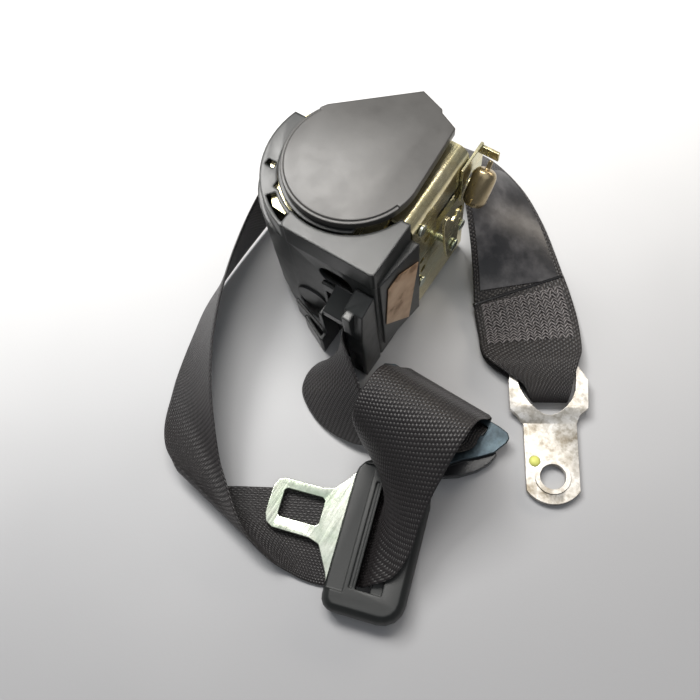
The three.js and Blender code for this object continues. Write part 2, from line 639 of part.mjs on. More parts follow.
function gripRing(inset, z) {
  return GRIP_CORNERS.flatMap(([right, far, radius], k) => [0, 1, 2, 3, 4].map((n) => {
    const angle = (k - 1) * (Math.PI / 2) + (n * Math.PI) / 8;
    const reach = radius - inset;
    const x = GRIP_U[right] + (right ? -radius : radius) + reach * Math.cos(angle);
    const y = GRIP_V[far] + (far ? -radius : radius) + reach * Math.sin(angle);
    return [x, y, z];
  }));
}

function makeGrip() {
  const body = toSolid(loft([
    gripRing(1.2, GRIP_Z0), gripRing(0, GRIP_Z0 + 1.4), gripRing(0, 9.5),
    gripRing(1.3, 12), gripRing(3.4, 13.4),
  ]));
  const slot = box(...TONGUE_SLOT, -25, 25, 0, 20);
  const entry = box(-9.5, TONGUE_SLOT[1], -25, 25, 10, 20);
  const panel = box(7.8, 25, -31.5, 27.5, 11.4, 20);
  const channel = box(3.9, 5.5, -24, 25, 12.7, 20);
  const underside = box(TONGUE_SLOT[1] - 1, 25, -25, 25, 0, BLADE_Z[0] - GAP);
  const pocket = box(5.6, 25, -31.4, 28.9, BLADE_Z[0] - 0.5, BLADE_Z[1] + GAP);
  return cut(body, ...[slot, entry, panel, channel, underside, pocket].map(toSolid));
}
add("tongue_grip", placed(makeGrip(), TONGUE), BLACK);

// ---------------------------------------------------------------- end anchor
const BAR_Z = 4.6;               // height of the bar's middle
const CRANK = [33, 26];          // where the sheet steps down to the bench

function makeAnchor() {
  const low = GAP;
  const high = BAR_Z - ANCHOR_T / 2;
  const side = outline([
    [-14, low], [CRANK[1], low], [CRANK[0], high], [60, high], [60, high + ANCHOR_T],
    [CRANK[0], high + ANCHOR_T], [CRANK[1], low + ANCHOR_T], [-14, low + ANCHOR_T],
  ]);
  const plan = new THREE.Shape();
  plan.absarc(2.3, 0, 15.2, 0.697 * Math.PI, 1.303 * Math.PI, false);
  [[26, -12.7], [29.8, -14.2], [33.2, -18.2], [47.5, -19], [51, -17], [56, -13.4], [57, -11], [57, 12],
    [56, 15], [51, 18.4], [47, 19.2], [32.4, 19.1], [29.6, 15.6], [26, 12.7],
  ].forEach(([u, v]) => plan.lineTo(u, v));
  const slot = outline([
    [53, 14.6], [46.5, 14.8], [43, 13.8], [39, 11.8], [35.4, 9.4], [32.4, 6.4], [30.4, 3], [29.8, -0.6],
    [31.2, -4.6], [34, -8], [37.6, -10.8], [42, -12.6], [47, -13.2], [53, -13.4],
  ]);
  const sheet = toSolid(plateY(side, -25, 25)).intersect(toSolid(slab(plan, -1, 12)));
  const rim = toSolid(disc(0, 0, BOLT_HOLE_R + 2.4, low + ANCHOR_T - 1, low + ANCHOR_T + 0.7));
  return cut(join(sheet, rim), toSolid(slab(slot, -1, 12)), toSolid(disc(0, 0, BOLT_HOLE_R, -5, 12)));
}
add("anchor_plate", placed(makeAnchor(), ANCHOR), ZINC);

// ---------------------------------------------------------------- webbing runs
// Each station is [edge, other edge]. The webbing leaves the coil, stands on edge through the mouth,
// tips over and passes down through the guide ring and up again round its bar.
const retractorRun = [
  [[25.1, 0, COIL_Z0 + 0.1], [25.1, 0, COIL_Z1 - 0.2]],
  [[25.1, -14, COIL_Z0], [25.1, -14, COIL_Z1 - 0.3]],
  [[25, -30, 3.4], [25, -30, 50.4]],
  [[24.6, -41, 2.2], [24.6, -41, 49.2]],
  [[23.4, -48, 1.6], [24.6, -49, 48.6]],
  [[17.5, -54, 1.2], [27, -55.6, 45.4]],
  [[11, -61, 1.2], [34, -60.6, 40]],
  [[9.5, -70, 1.2], [40.5, -65, 36.5]],
  [[14.5, -79.5, 1.2], [48, -70, 34]],
  [[31, -87, 1.2], [62, -72, 30]],
  [[51, -86, 4.5], [84, -72, 23]],
  [[57.5, -77, 9.6], [95, -66, 14.5]],
  [[57, -65, 11], [100, -59, 10.6]],
  [[53.5, -54, 9.6], [100, -54, 9.4]],
  [[53, -50.4, 8.9], [100, -50.4, 8.9]],
];
const barWrap = [[-48.7, 6.6], [-48, 4], [-46.3, 2], [-44, 1.2], [-42, 2], [-40.9, 4.4], [-40.7, 7.6]];
const ringLoop = barWrap.map(([y, z]) => [[53, y, z], [100, y, z]]);
add("webbing_retractor_run", strap([...retractorRun, ...ringLoop]), WEBBING);

// From the guide ring up over a standing arch and down into the tongue.
const shoulderRun = [
  [[53, -40.75, 8.1], [100.5, -40.75, 8.1]],
  [[52.4, -42.4, 13], [100, -42.4, 13]],
  [[51.3, -46, 20], [99.6, -46, 20]],
  [[50, -51, 33], [98.8, -51, 33]],
  [[49.2, -56, 43], [98.3, -56, 42.5]],
  [[49, -62, 48], [98, -63, 47.5]],
  [[49, -70, 49.3], [97.8, -73, 45.5]],
  [[49.3, -78, 46.5], [98, -84, 39.5]],
  [[51, -84, 40], [98.2, -93, 34]],
  [[57, -87.5, 29], [99.5, -105, 27]],
  [[66, -90.5, 21], [102, -117, 21.5]],
  [[73.2, -94.6, 15.4], [101, -129.5, 17]],
  [[76.6, -96.6, 11.5], [94.5, -137.5, 12.8]],
  [[77.2, -96.8, 8], [91.6, -140.2, 8]],
  [[76.6, -97, 5], [90.6, -140.4, 5]],
];
add("webbing_shoulder_run", strap(shoulderRun), WEBBING);

// Flat under the tongue, turning over at the front left and standing up round the retractor.
const lapRun = [
  [[76, -97.3, 4.4], [90, -140.6, 4.4]],
  [[72.5, -98.8, 2], [87.2, -142, 2]],
  [[57, -108, 1.2], [75, -149.5, 1.2]],
  [[38, -119.5, 1.2], [66, -152.5, 1.5]],
  [[18, -131.5, 1.2], [58, -153.5, 3]],
  [[3, -140.5, 3], [53, -154, 6]],
  [[-12, -144, 9], [49, -153.5, 10]],
  [[-17, -142, 13], [43, -152.5, 13]],
  [[-24, -138.5, 12], [36, -150.5, 15]],
  [[-31, -133, 8], [27, -146, 17]],
  [[-37, -126, 4], [16, -138, 19]],
  [[-42, -117, 1.5], [6, -130, 22]],
  [[-46.5, -107, 1], [-4, -119, 27]],
  [[-50.5, -95, 1], [-15, -105.5, 32]],
  [[-54, -82, 1], [-25.5, -89.5, 36.5]],
  [[-57.5, -68, 1], [-33, -74, 41]],
  [[-59, -53, 1], [-39, -58, 44.5]],
  [[-59.5, -38, 1], [-44.5, -41, 46]],
  [[-59.5, -22, 1], [-49, -23, 47]],
  [[-59, -5, 1], [-52, -5, 47]],
];
add("webbing_lap_run", strap(lapRun, 5), WEBBING);

// On round the back, lying down again, under the anchor bar and folded back on top of itself.
function anchorPair(z, [uA, vA], [uB, vB]) {
  const cos = Math.cos(ANCHOR.turn);
  const sin = Math.sin(ANCHOR.turn);
  const at = (u, v) => [ANCHOR.x + u * cos - v * sin, ANCHOR.y + u * sin + v * cos, z];
  return [at(uA, vA), at(uB, vB)];
}
// Height, then both edges in the plate's own frame: along it from the bolt hole, and across it.
const anchorLoop = [
  [1.2, [68, -17.3], [62, 31.5]],
  [1.2, [58, -15.5], [55, 26.5]],
  [1.2, [50, -12.8], [50, 19.5]],
  [1.6, [45, -11], [44.8, 12.6]],
  [2.6, [39.5, -9.6], [39.5, 9.8]],
  [4.6, [36.6, -8.6], [36.6, 8.2]],
  [6.8, [39.5, -9.8], [39.5, 10]],
  [7.9, [45, -11.2], [44.8, 13]],
  [8.3, [50.5, -12.8], [50.3, 20.5]],
  [8.2, [57, -15], [56, 27.6]],
  [6.4, [64, -17], [61.5, 31.6]],
];
const anchorRun = [
  [[-59, -4.6, 1], [-52, -4.6, 47]],
  [[-57, 15, 1], [-52, 14, 47]],
  [[-51, 36, 1], [-45, 33, 47]],
  [[-40, 57, 1], [-34, 49, 46.5]],
  [[-22, 75, 1], [-19, 60, 45]],
  [[0, 87, 1], [-2, 65, 42]],
  [[24, 90, 1], [15, 59, 36]],
  [[47, 83, 1], [29, 49, 27]],
  [[67, 70, 1], [41, 36, 18]],
  [[85, 54, 1], [52, 22, 9]],
  [[100, 39, 1.2], [64, 4.5, 3]],
  [[110, 28, 1.2], [72, -5, 1.2]],
  ...anchorLoop.map((station) => anchorPair(...station)),
  [[110, 28, 3.4], [72, -5, 3.6]],
  [[100, 39, 3], [64, 4.5, 4.8]],
  [[92.2, 46.6, 2.8], [61.6, 6.6, 5.6]],
];
const ANCHOR_STEPS = 5;
add("webbing_anchor_run", strap(anchorRun, ANCHOR_STEPS), WEBBING);

// A narrower layer lying on the anchor run: both edges are pulled in and the whole is lifted.
const anchorRails = [0, 1].map((side) => smoothRail(anchorRun.map((pair) => pair[side]), ANCHOR_STEPS));
function layerOn(from, to, inset, lift) {
  const stations = [];
  for (let i = from; i <= to; i += 1) {
    const [a, b] = anchorRails.map((rail) => rail[i]);
    const raised = new THREE.Vector3(0, 0, lift);
    stations.push([a.clone().lerp(b, inset).add(raised), b.clone().lerp(a, inset).add(raised)]);
  }
  return strap(stations.map((pair) => pair.map((point) => point.toArray())), 1, 0.3);
}
const STITCHED = [116, 124];       // stations of the anchor run that carry the stitching
const LABELLED = [34, 46];       // stations of the anchor run that carry the label
add("end_stitching", layerOn(...STITCHED, 0.12, 1.1), DARK);
add("blank_webbing_label", layerOn(...LABELLED, 0.16, 2.2), FILM);

export default assembly;
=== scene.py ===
import math
import random

import bmesh
import bpy
import numpy as np
from mathutils import Matrix, Vector, noise


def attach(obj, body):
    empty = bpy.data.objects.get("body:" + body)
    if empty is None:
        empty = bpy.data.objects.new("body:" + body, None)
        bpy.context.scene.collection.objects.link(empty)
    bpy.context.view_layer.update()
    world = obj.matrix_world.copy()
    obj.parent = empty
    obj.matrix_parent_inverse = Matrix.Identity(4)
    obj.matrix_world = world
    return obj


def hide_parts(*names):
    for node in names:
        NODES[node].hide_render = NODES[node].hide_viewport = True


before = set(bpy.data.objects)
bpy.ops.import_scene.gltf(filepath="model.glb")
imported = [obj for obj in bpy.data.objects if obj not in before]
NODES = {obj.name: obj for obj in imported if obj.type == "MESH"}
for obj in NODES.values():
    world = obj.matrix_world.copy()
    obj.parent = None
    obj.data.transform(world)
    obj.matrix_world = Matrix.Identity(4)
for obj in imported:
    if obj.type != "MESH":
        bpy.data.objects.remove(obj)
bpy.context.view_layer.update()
MM = 0.001
WEB_W = 47.0            # width of the webbing
WEB_T = 1.15            # thickness of the webbing
WEAVE_COLUMN = 0.00142  # metres across the webbing from one column of floats to the next
WEAVE_ROW = 0.00215     # metres along the webbing from one float to the next
WEAVE_STAGGER = 0.42    # how far each column is shifted, as a share of a row
SAMPLE_STEP = 1.4       # spacing of the strap's cross sections
BEAD_IN = 1.1           # the selvedge's thick band, in from the edge
BEAD_SPREAD = 0.9       # half the width of that band
EDGE_ROUND = 0.55       # how far in the edge is rounded
THREAD_SHARES = (0, 0.22, 0.5, 0.78, 1)  # where a stitch has its cross sections
THREAD_SIDES = 6
THREAD_R = 0.36
THREAD_ARCH = 0.42      # how high a stitch rises over the webbing
THREAD_SINK = 0.12      # how deep its ends go in
STITCH_ROWS = 15
STITCHES_PER_ROW = 22
SEW_LIFT = 0.72         # from the middle of the webbing to the thread
JITTER_SEED = 3
PAINT_SIDES = 28
PAINT_R = 2.7
FLOOR_SIDE = 2.2        # half the floor's width, in metres
FLOOR_DROP = 0.0006     # gap under the part, in metres


# ---------------------------------------------------------------- node materials
class Look:
    """A procedural material under construction: a thin layer over Blender's shader nodes."""

    def __init__(self, name):
        self.mat = bpy.data.materials.new(name)
        self.mat.use_nodes = True
        self.tree = self.mat.node_tree
        self.bsdf = self.tree.nodes["Principled BSDF"]

    def node(self, kind, inputs=None, **settings):
        made = self.tree.nodes.new("ShaderNode" + kind)
        for key, value in settings.items():
            setattr(made, key, value)
        for key, value in (inputs or {}).items():
            self.put(made.inputs[key], value)
        return made

    def put(self, socket, value):
        if isinstance(value, bpy.types.NodeSocket):
            self.tree.links.new(value, socket)
        else:
            socket.default_value = value

    def set(self, **inputs):
        for key, value in inputs.items():
            self.put(self.bsdf.inputs[key.replace("_", " ")], value)

    def coords(self):
        return self.node("TexCoord").outputs["Object"]

    def noise(self, scale, detail=3.0, vector=None, roughness=0.55):
        vector = vector or self.coords()
        inputs = {"Vector": vector, "Scale": scale, "Detail": detail, "Roughness": roughness}
        return self.node("TexNoise", inputs).outputs["Fac"]

    def ramp(self, fac, *stops):
        made = self.node("ValToRGB", {"Fac": fac})
        ramp = made.color_ramp
        for i, (at, color) in enumerate(stops):
            stop = ramp.elements[i] if i < 2 else ramp.elements.new(at)
            stop.position = at
            stop.color = (*color, 1)
        return made.outputs["Color"]

    def span(self, fac, low, high):
        made = self.node("MapRange", {"Value": fac, "To Min": low, "To Max": high})
        return made.outputs["Result"]

    def math(self, operation, a, b=0.0):
        made = self.node("Math", operation=operation)
        self.put(made.inputs[0], a)
        self.put(made.inputs[1], b)
        return made.outputs[0]

    def bump(self, height, strength=0.3, distance=0.0002, over=None):
        made = self.node("Bump", {"Height": height, "Strength": strength, "Distance": distance})
        if over is not None:
            self.put(made.inputs["Normal"], over)
        self.put(self.bsdf.inputs["Normal"], made.outputs["Normal"])


def plastic(name, color, roughness, grain=0.25, speckle=1.15, rounding=0.6):
    look = Look(name)
    cloud = look.noise(60, 4)
    fine = look.noise(2600, 2)
    edge = look.node("Bevel", {"Radius": rounding * MM}, samples=6).outputs["Normal"]
    dark = tuple(c * 0.86 for c in color)
    light = tuple(c * speckle for c in color)
    look.set(Base_Color=look.ramp(cloud, (0.3, dark), (0.7, light)))
    look.set(Roughness=look.span(look.noise(140, 5), roughness - 0.07, roughness + 0.1))
    look.bump(fine, grain, 0.0001, edge)
    return look.mat


def zinc(name, bright, tint, stain, roughness=0.3, cloudiness=55, spotting=0.75):
    """Plated steel: cloudy tint, darker stains and fine scratches."""
    look = Look(name)
    cloud = look.noise(cloudiness, 6, roughness=0.65)
    streak_space = look.node("Mapping", {"Vector": look.coords(), "Scale": (900, 60, 300)}).outputs[0]
    streak = look.noise(1.0, 4, streak_space)
    mottled = look.ramp(cloud, (0.32, stain), (0.5, tint), (0.68, bright))
    spots = look.ramp(look.noise(420, 5), (0.42, (0.62, 0.6, 0.55)), (0.52, (1, 1, 1)))
    mixed = look.node("Mix", {"Factor": spotting}, data_type="RGBA", blend_type="MULTIPLY")
    look.put(mixed.inputs[6], mottled)
    look.put(mixed.inputs[7], spots)
    look.set(Base_Color=mixed.outputs[2], Metallic=0.92)
    look.set(Roughness=look.span(streak, roughness - 0.08, roughness + 0.16))
    look.bump(look.math("ADD", streak, look.noise(700, 3)), 0.12, 0.0001)
    return look.mat


def woven(name, color, sheen):
    """Seat belt webbing: staggered floats, laid out on the strap's own UV in metres."""
    look = Look(name)
    uv = look.node("UVMap", uv_map="strap").outputs["UV"]
    parts = look.node("SeparateXYZ", {"Vector": uv})
    column = look.math("DIVIDE", parts.outputs["X"], WEAVE_COLUMN)
    row = look.math("DIVIDE", parts.outputs["Y"], WEAVE_ROW)
    which = look.math("FLOOR", column)
    across = look.math("SUBTRACT", look.math("FRACT", column), 0.5)
    shifted = look.math("ADD", row, look.math("MULTIPLY", which, WEAVE_STAGGER))
    along = look.math("SUBTRACT", look.math("FRACT", shifted), 0.5)
    far = look.math("ADD", look.math("MULTIPLY", look.math("MULTIPLY", across, across), 3.2),
                    look.math("MULTIPLY", look.math("MULTIPLY", along, along), 3.4))
    bead = look.math("SUBTRACT", 1.0, far)
    height = look.math("MAXIMUM", bead, 0.12)
    fibre = look.noise(5200, 2)
    height = look.math("ADD", height, look.math("MULTIPLY", fibre, 0.22))
    # The weave's hollows between floats are painted darker in the colour: painted shade, on top of the
    # bump.
    dark = tuple(c * 0.3 for c in color)
    shade = look.ramp(height, (0.2, dark), (0.75, color))
    wear = look.ramp(look.noise(38, 4), (0.35, (0.82, 0.82, 0.84)), (0.7, (1.15, 1.12, 1.08)))
    mixed = look.node("Mix", {"Factor": 1.0}, data_type="RGBA", blend_type="MULTIPLY")
    look.put(mixed.inputs[6], shade)
    look.put(mixed.inputs[7], wear)
    look.set(Base_Color=mixed.outputs[2], Roughness=look.span(height, 0.6, 0.3))
    look.set(Sheen_Weight=sheen, Sheen_Roughness=0.35, Sheen_Tint=(0.8, 0.75, 0.78, 1))
    look.bump(height, 0.85, 0.00042)
    return look.mat


COVER_GREY = plastic("cover_grey", (0.055, 0.053, 0.050), 0.33, 0.1, 1.15, 0.9)
BODY_BLACK = plastic("body_black", (0.022, 0.024, 0.0235), 0.30, 0.2, 1.15, 1.5)
DARK = plastic("dark_plastic", (0.02, 0.02, 0.021), 0.4)
GRIP_BLACK = plastic("grip_black", (0.009, 0.0105, 0.010), 0.40, 0.35, 1.15, 1.2)
LINER_BLACK = plastic("liner_black", (0.009, 0.009, 0.010), 0.2, 0.1, 1.15, 0.9)
NYLON = plastic("natural_nylon", (0.62, 0.6, 0.53), 0.5, 0.15, 1.06)
YELLOW_ZINC = zinc("yellow_zinc", (0.90, 0.82, 0.58), (0.80, 0.71, 0.42), (0.60, 0.60, 0.42), 0.2, 34, 0.35)
PALE_ZINC = zinc("pale_zinc", (0.80, 0.83, 0.74), (0.68, 0.72, 0.62), (0.50, 0.60, 0.46), 0.16, 30, 0.25)
WORN_ZINC = zinc("worn_zinc", (0.78, 0.76, 0.73), (0.60, 0.57, 0.52), (0.30, 0.26, 0.20), 0.36, 90, 0.6)
BRASS = zinc("dull_brass", (0.46, 0.38, 0.24), (0.40, 0.32, 0.19), (0.34, 0.28, 0.17), 0.26, 40, 0.12)
BLUED = zinc("blued_steel", (0.1, 0.135, 0.15), (0.055, 0.075, 0.088), (0.025, 0.032, 0.038), 0.3, 45, 0.5)
SPRING = zinc("spring_strip", (0.4, 0.42, 0.46), (0.3, 0.31, 0.35), (0.2, 0.2, 0.24), 0.3)
WEBBING = woven("webbing", (0.020, 0.0175, 0.018), 0.05)


def label_look():
    look = Look("worn_paper_label")
    patch = look.noise(95, 6)
    look.set(Base_Color=look.ramp(patch, (0.38, (0.34, 0.19, 0.10)), (0.47, (0.62, 0.40, 0.24)),
                                  (0.66, (0.76, 0.54, 0.36))))
    look.set(Roughness=0.5)
    look.bump(look.noise(500, 3), 0.2, 0.0001)
    return look.mat


def film_look():
    look = Look("blank_film_label")
    patch = look.noise(48, 5, roughness=0.6)
    look.set(Base_Color=look.ramp(patch, (0.4, (0.014, 0.0145, 0.017)), (0.52, (0.045, 0.044, 0.047)),
                                  (0.62, (0.085, 0.083, 0.086))))
    look.set(Roughness=look.span(look.noise(60, 4), 0.22, 0.42))
    look.bump(look.noise(120, 3), 0.35, 0.0004)
    return look.mat


def thread_look():
    look = Look("bonded_thread")
    look.set(Base_Color=look.ramp(look.noise(700, 3), (0.3, (0.10, 0.09, 0.09)), (0.7, (0.26, 0.24, 0.24))))
    look.set(Roughness=0.45, Sheen_Weight=0.3)
    look.bump(look.noise(3800, 2), 0.5, 0.0001)
    return look.mat


PAPER = label_look()
FILM = film_look()
THREAD = thread_look()
PAINT = plastic("inspection_paint", (0.60, 0.62, 0.16), 0.5, 0.3)


# ---------------------------------------------------------------- helpers for pieces
def new_object(name, mesh, mat, body, replaced=()):
    made = bpy.data.objects.new(name, mesh)
    bpy.context.scene.collection.objects.link(made)
    mesh.materials.clear()
    mesh.materials.append(mat)
    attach(made, body)
    if replaced:
        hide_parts(*replaced)
    return made


def smooth(mesh, angle=32):
    mesh.shade_smooth()
    mesh.set_sharp_from_angle(angle=math.radians(angle))


def softened(node, mat, body, width=0.5, segments=3, limit=30):
    """A CAD solid with its flat faces merged and every sharp edge rounded."""
    mesh = NODES[node].data.copy()
    work = bmesh.new()
    work.from_mesh(mesh)
    bmesh.ops.remove_doubles(work, verts=work.verts, dist=2e-6)
    bmesh.ops.dissolve_limit(work, angle_limit=math.radians(0.8), verts=work.verts, edges=work.edges)
    work.to_mesh(mesh)
    work.free()
    made = new_object(node + "_piece", mesh, mat, body, (node,))
    smooth(mesh)
    bevel = made.modifiers.new("rounding", "BEVEL")
    bevel.width = width * MM
    bevel.segments = segments
    bevel.limit_method = "ANGLE"
    bevel.angle_limit = math.radians(limit)
    bevel.harden_normals = True
    bevel.miter_outer = "MITER_ARC"


def repaint(node, mat):
    """A CAD node that is shown as it is, with a finish of its own."""
    shown = NODES[node]
    shown.data.materials.clear()
    shown.data.materials.append(mat)
    smooth(shown.data)


# ---------------------------------------------------------------- the strap
def catmull(points, t):
    last = len(points) - 1
    i = min(int(t), last - 1)
    f = t - i
    b, c = points[i], points[i + 1]
    a = points[i - 1] if i > 0 else b * 2 - c
    d = points[i + 2] if i < last - 1 else c * 2 - b
    square = (2 * a - 5 * b + 4 * c - d) * f * f
    cube = (3 * b - a - 3 * c + d) * f ** 3
    return 0.5 * (2 * b + (c - a) * f + square + cube)


def rails_of(stations):
    """Even samples of both edges of a strap, spaced by the length of its middle line."""
    left = [Vector(a) for a, _ in stations]
    right = [Vector(b) for _, b in stations]
    fine = [k / 12 for k in range(12 * (len(stations) - 1) + 1)]
    pairs = [(catmull(left, t), catmull(right, t)) for t in fine]
    run = [0.0]
    for (a0, b0), (a1, b1) in zip(pairs, pairs[1:]):
        run.append(run[-1] + ((a1 + b1) / 2 - (a0 + b0) / 2).length)
    wanted = np.linspace(0, run[-1], max(3, int(run[-1] / SAMPLE_STEP)))
    out = []
    k = 0
    for s in wanted:
        while k < len(run) - 2 and run[k + 1] < s:
            k += 1
        f = (s - run[k]) / max(1e-9, run[k + 1] - run[k])
        out.append((pairs[k][0].lerp(pairs[k + 1][0], f), pairs[k][1].lerp(pairs[k + 1][1], f), float(s)))
    return out


def half_thickness(share, thickness, bead):
    """Half the webbing's thickness at a share of its width: a thicker band near a rounded edge."""
    edge = min(share, 1 - share) * WEB_W
    half = thickness / 2
    half *= 1 + bead * math.exp(-((edge - BEAD_IN) / BEAD_SPREAD) ** 2)
    if edge < EDGE_ROUND:
        half *= min(1.0, math.sqrt(max(0.0, 1 - (1 - edge / EDGE_ROUND) ** 2)) + 0.001)
    return half


def strap_mesh(name, samples, thickness, columns=18, bead=0.2):
    """A closed strap with slightly thicker, rounded edges and UVs in metres of flat webbing."""
    verts, uvs = [], []
    count = len(samples)
    shares = [0.5 - 0.5 * math.cos(math.pi * j / columns) for j in range(columns + 1)]
    shares = [0.6 * j / columns + 0.4 * s for j, s in enumerate(shares)]
    edge_a, edge_b = [], []
    for a, b, _ in samples:
        edge_a.append(a)
        edge_b.append(b)
    for i, (a, b, s) in enumerate(samples):
        lo, hi = max(i - 1, 0), min(i + 1, count - 1)
        along_a = (edge_a[hi] - edge_a[lo]).normalized()
        along_b = (edge_b[hi] - edge_b[lo]).normalized()
        across = (b - a).normalized()
        ring = []
        for share in shares:
            normal = along_a.lerp(along_b, share).cross(across).normalized()
            point = a.lerp(b, share)
            ring.append((point, normal * half_thickness(share, thickness, bead), share))
        for point, off, share in ring:
            verts.append((point + off) * MM)
            uvs.append((share * WEB_W * MM, s * MM))
        for point, off, share in reversed(ring[1:-1]):
            verts.append((point - off) * MM)
            uvs.append((share * WEB_W * MM, s * MM))
    loop = 2 * (columns + 1) - 2
    faces = []
    for i in range(count - 1):
        for j in range(loop):
            k = (j + 1) % loop
            faces.append((i * loop + j, (i + 1) * loop + j, (i + 1) * loop + k, i * loop + k))
    faces.append(tuple(range(loop)))
    faces.append(tuple((count - 1) * loop + j for j in reversed(range(loop))))
    mesh = bpy.data.meshes.new(name)
    mesh.from_pydata([tuple(v) for v in verts], [], faces)
    layer = mesh.uv_layers.new(name="strap")
    for entry in mesh.loops:
        layer.data[entry.index].uv = uvs[entry.vertex_index]
    mesh.update()
    smooth(mesh, 60)
    return mesh


COIL_Z = (5.0, 51.7)
RETRACTOR_RUN = [
    ((25.1, 0, COIL_Z[0]), (25.1, 0, COIL_Z[1])),
    ((25.1, -14, 4.9), (25.1, -14, 51.6)),
    ((25, -30, 3.4), (25, -30, 50.4)),
    ((24.6, -41, 2.2), (24.6, -41, 49.2)),
    ((23.4, -48, 1.6), (24.6, -49, 48.6)),
    ((17.5, -54, 1.2), (27, -55.6, 45.4)),
    ((11, -61, 1.2), (34, -60.6, 40)),
    ((9.5, -70, 1.2), (40.5, -65, 36.5)),
    ((14.5, -79.5, 1.2), (48, -70, 34)),
    ((31, -87, 1.2), (62, -72, 30)),
    ((51, -86, 4.5), (84, -72, 23)),
    ((57.5, -77, 9.6), (95, -66, 14.5)),
    ((57, -65, 11), (100, -59, 10.6)),
    ((53.5, -54, 9.6), (100, -54, 9.4)),
    ((53, -50.4, 8.9), (100, -50.4, 8.9)),
]
BAR_WRAP = [(-48.7, 6.6), (-48, 4), (-46.3, 2), (-44, 1.2), (-42, 2), (-40.9, 4.4), (-40.7, 7.6)]
SHOULDER_RUN = [
    ((52.4, -42.4, 13), (100, -42.4, 13)),
    ((51.3, -46, 20), (99.6, -46, 20)),
    ((50, -51, 33), (98.8, -51, 33)),
    ((49.2, -56, 43), (98.3, -56, 42.5)),
    ((49, -62, 48), (98, -63, 47.5)),
    ((49, -70, 49.3), (97.8, -73, 45.5)),
    ((49.3, -78, 46.5), (98, -84, 39.5)),
    ((51, -84, 40), (98.2, -93, 34)),
    ((57, -87.5, 29), (99.5, -105, 27)),
    ((66, -90.5, 21), (102, -117, 21.5)),
    ((73.2, -94.6, 15.4), (101, -129.5, 17)),
    ((76.6, -96.6, 11.5), (94.5, -137.5, 12.8)),
    ((77.2, -96.8, 8), (91.6, -140.2, 8)),
]
LAP_RUN = [
    ((76, -97.3, 4.4), (90, -140.6, 4.4)),
    ((72.5, -98.8, 2), (87.2, -142, 2)),
    ((57, -108, 1.2), (75, -149.5, 1.2)),
    ((38, -119.5, 1.2), (66, -152.5, 1.5)),
    ((18, -131.5, 1.2), (58, -153.5, 3)),
    ((3, -140.5, 3), (53, -154, 6)),
    ((-12, -144, 9), (49, -153.5, 10)),
    ((-17, -142, 13), (43, -152.5, 13)),
    ((-24, -138.5, 12), (36, -150.5, 15)),
    ((-31, -133, 8), (27, -146, 17)),
    ((-37, -126, 4), (16, -138, 19)),
    ((-42, -117, 1.5), (6, -130, 22)),
    ((-46.5, -107, 1), (-4, -119, 27)),
    ((-50.5, -95, 1), (-15, -105.5, 32)),
    ((-54, -82, 1), (-25.5, -89.5, 36.5)),
    ((-57.5, -68, 1), (-33, -74, 41)),
    ((-59, -53, 1), (-39, -58, 44.5)),
    ((-59.5, -38, 1), (-44.5, -41, 46)),
    ((-59.5, -22, 1), (-49, -23, 47)),
    ((-59, -5, 1), (-52, -5, 47)),
]
ANCHOR_RUN = [
    ((-57, 15, 1), (-52, 14, 47)),
    ((-51, 36, 1), (-45, 33, 47)),
    ((-40, 57, 1), (-34, 49, 46.5)),
    ((-22, 75, 1), (-19, 60, 45)),
    ((0, 87, 1), (-2, 65, 42)),
    ((24, 90, 1), (15, 59, 36)),
    ((47, 83, 1), (29, 49, 27)),
    ((67, 70, 1), (41, 36, 18)),
    ((85, 54, 1), (52, 22, 9)),
    ((100, 39, 1.2), (64, 4.5, 3)),
    ((110, 28, 1.2), (72, -5, 1.2)),
]
RETURN_RUN = [
    ((110, 28, 3.4), (72, -5, 3.6)),
    ((100, 39, 3), (64, 4.5, 4.8)),
    ((92.2, 46.6, 2.8), (61.6, 6.6, 5.6)),
]
ANCHOR_AT = (138, -49)
ANCHOR_TURN = math.radians(121.7)
# height, then both edges in the end plate's own frame: along it from the bolt hole, and across it
ANCHOR_LOOP = [
    (1.2, (68, -17.3), (62, 31.5)),
    (1.2, (58, -15.5), (55, 26.5)),
    (1.2, (50, -12.8), (50, 19.5)),
    (1.6, (45, -11), (44.8, 12.6)),
    (2.6, (39.5, -9.6), (39.5, 9.8)),
    (4.6, (36.6, -8.6), (36.6, 8.2)),
    (6.8, (39.5, -9.8), (39.5, 10)),
    (7.9, (45, -11.2), (44.8, 13)),
    (8.3, (50.5, -12.8), (50.3, 20.5)),
    (8.2, (57, -15), (56, 27.6)),
    (6.4, (64, -17), (61.5, 31.6)),
]


def anchor_point(u, v, z):
    c, s = math.cos(ANCHOR_TURN), math.sin(ANCHOR_TURN)
    return (ANCHOR_AT[0] + u * c - v * s, ANCHOR_AT[1] + u * s + v * c, z)


ring_loop = [((53, y, z), (100, y, z)) for y, z in BAR_WRAP]
anchor_loop = [(anchor_point(*a, z), anchor_point(*b, z)) for z, a, b in ANCHOR_LOOP]
stations = [*RETRACTOR_RUN, *ring_loop, *SHOULDER_RUN, *LAP_RUN, *ANCHOR_RUN, *anchor_loop, *RETURN_RUN]
strap_samples = rails_of(stations)
webbing_runs = ("webbing_retractor_run", "webbing_shoulder_run", "webbing_lap_run", "webbing_anchor_run")
strap = new_object("webbing_strap", strap_mesh("webbing_strap", strap_samples, WEB_T), WEBBING, "retractor",
                   webbing_runs)


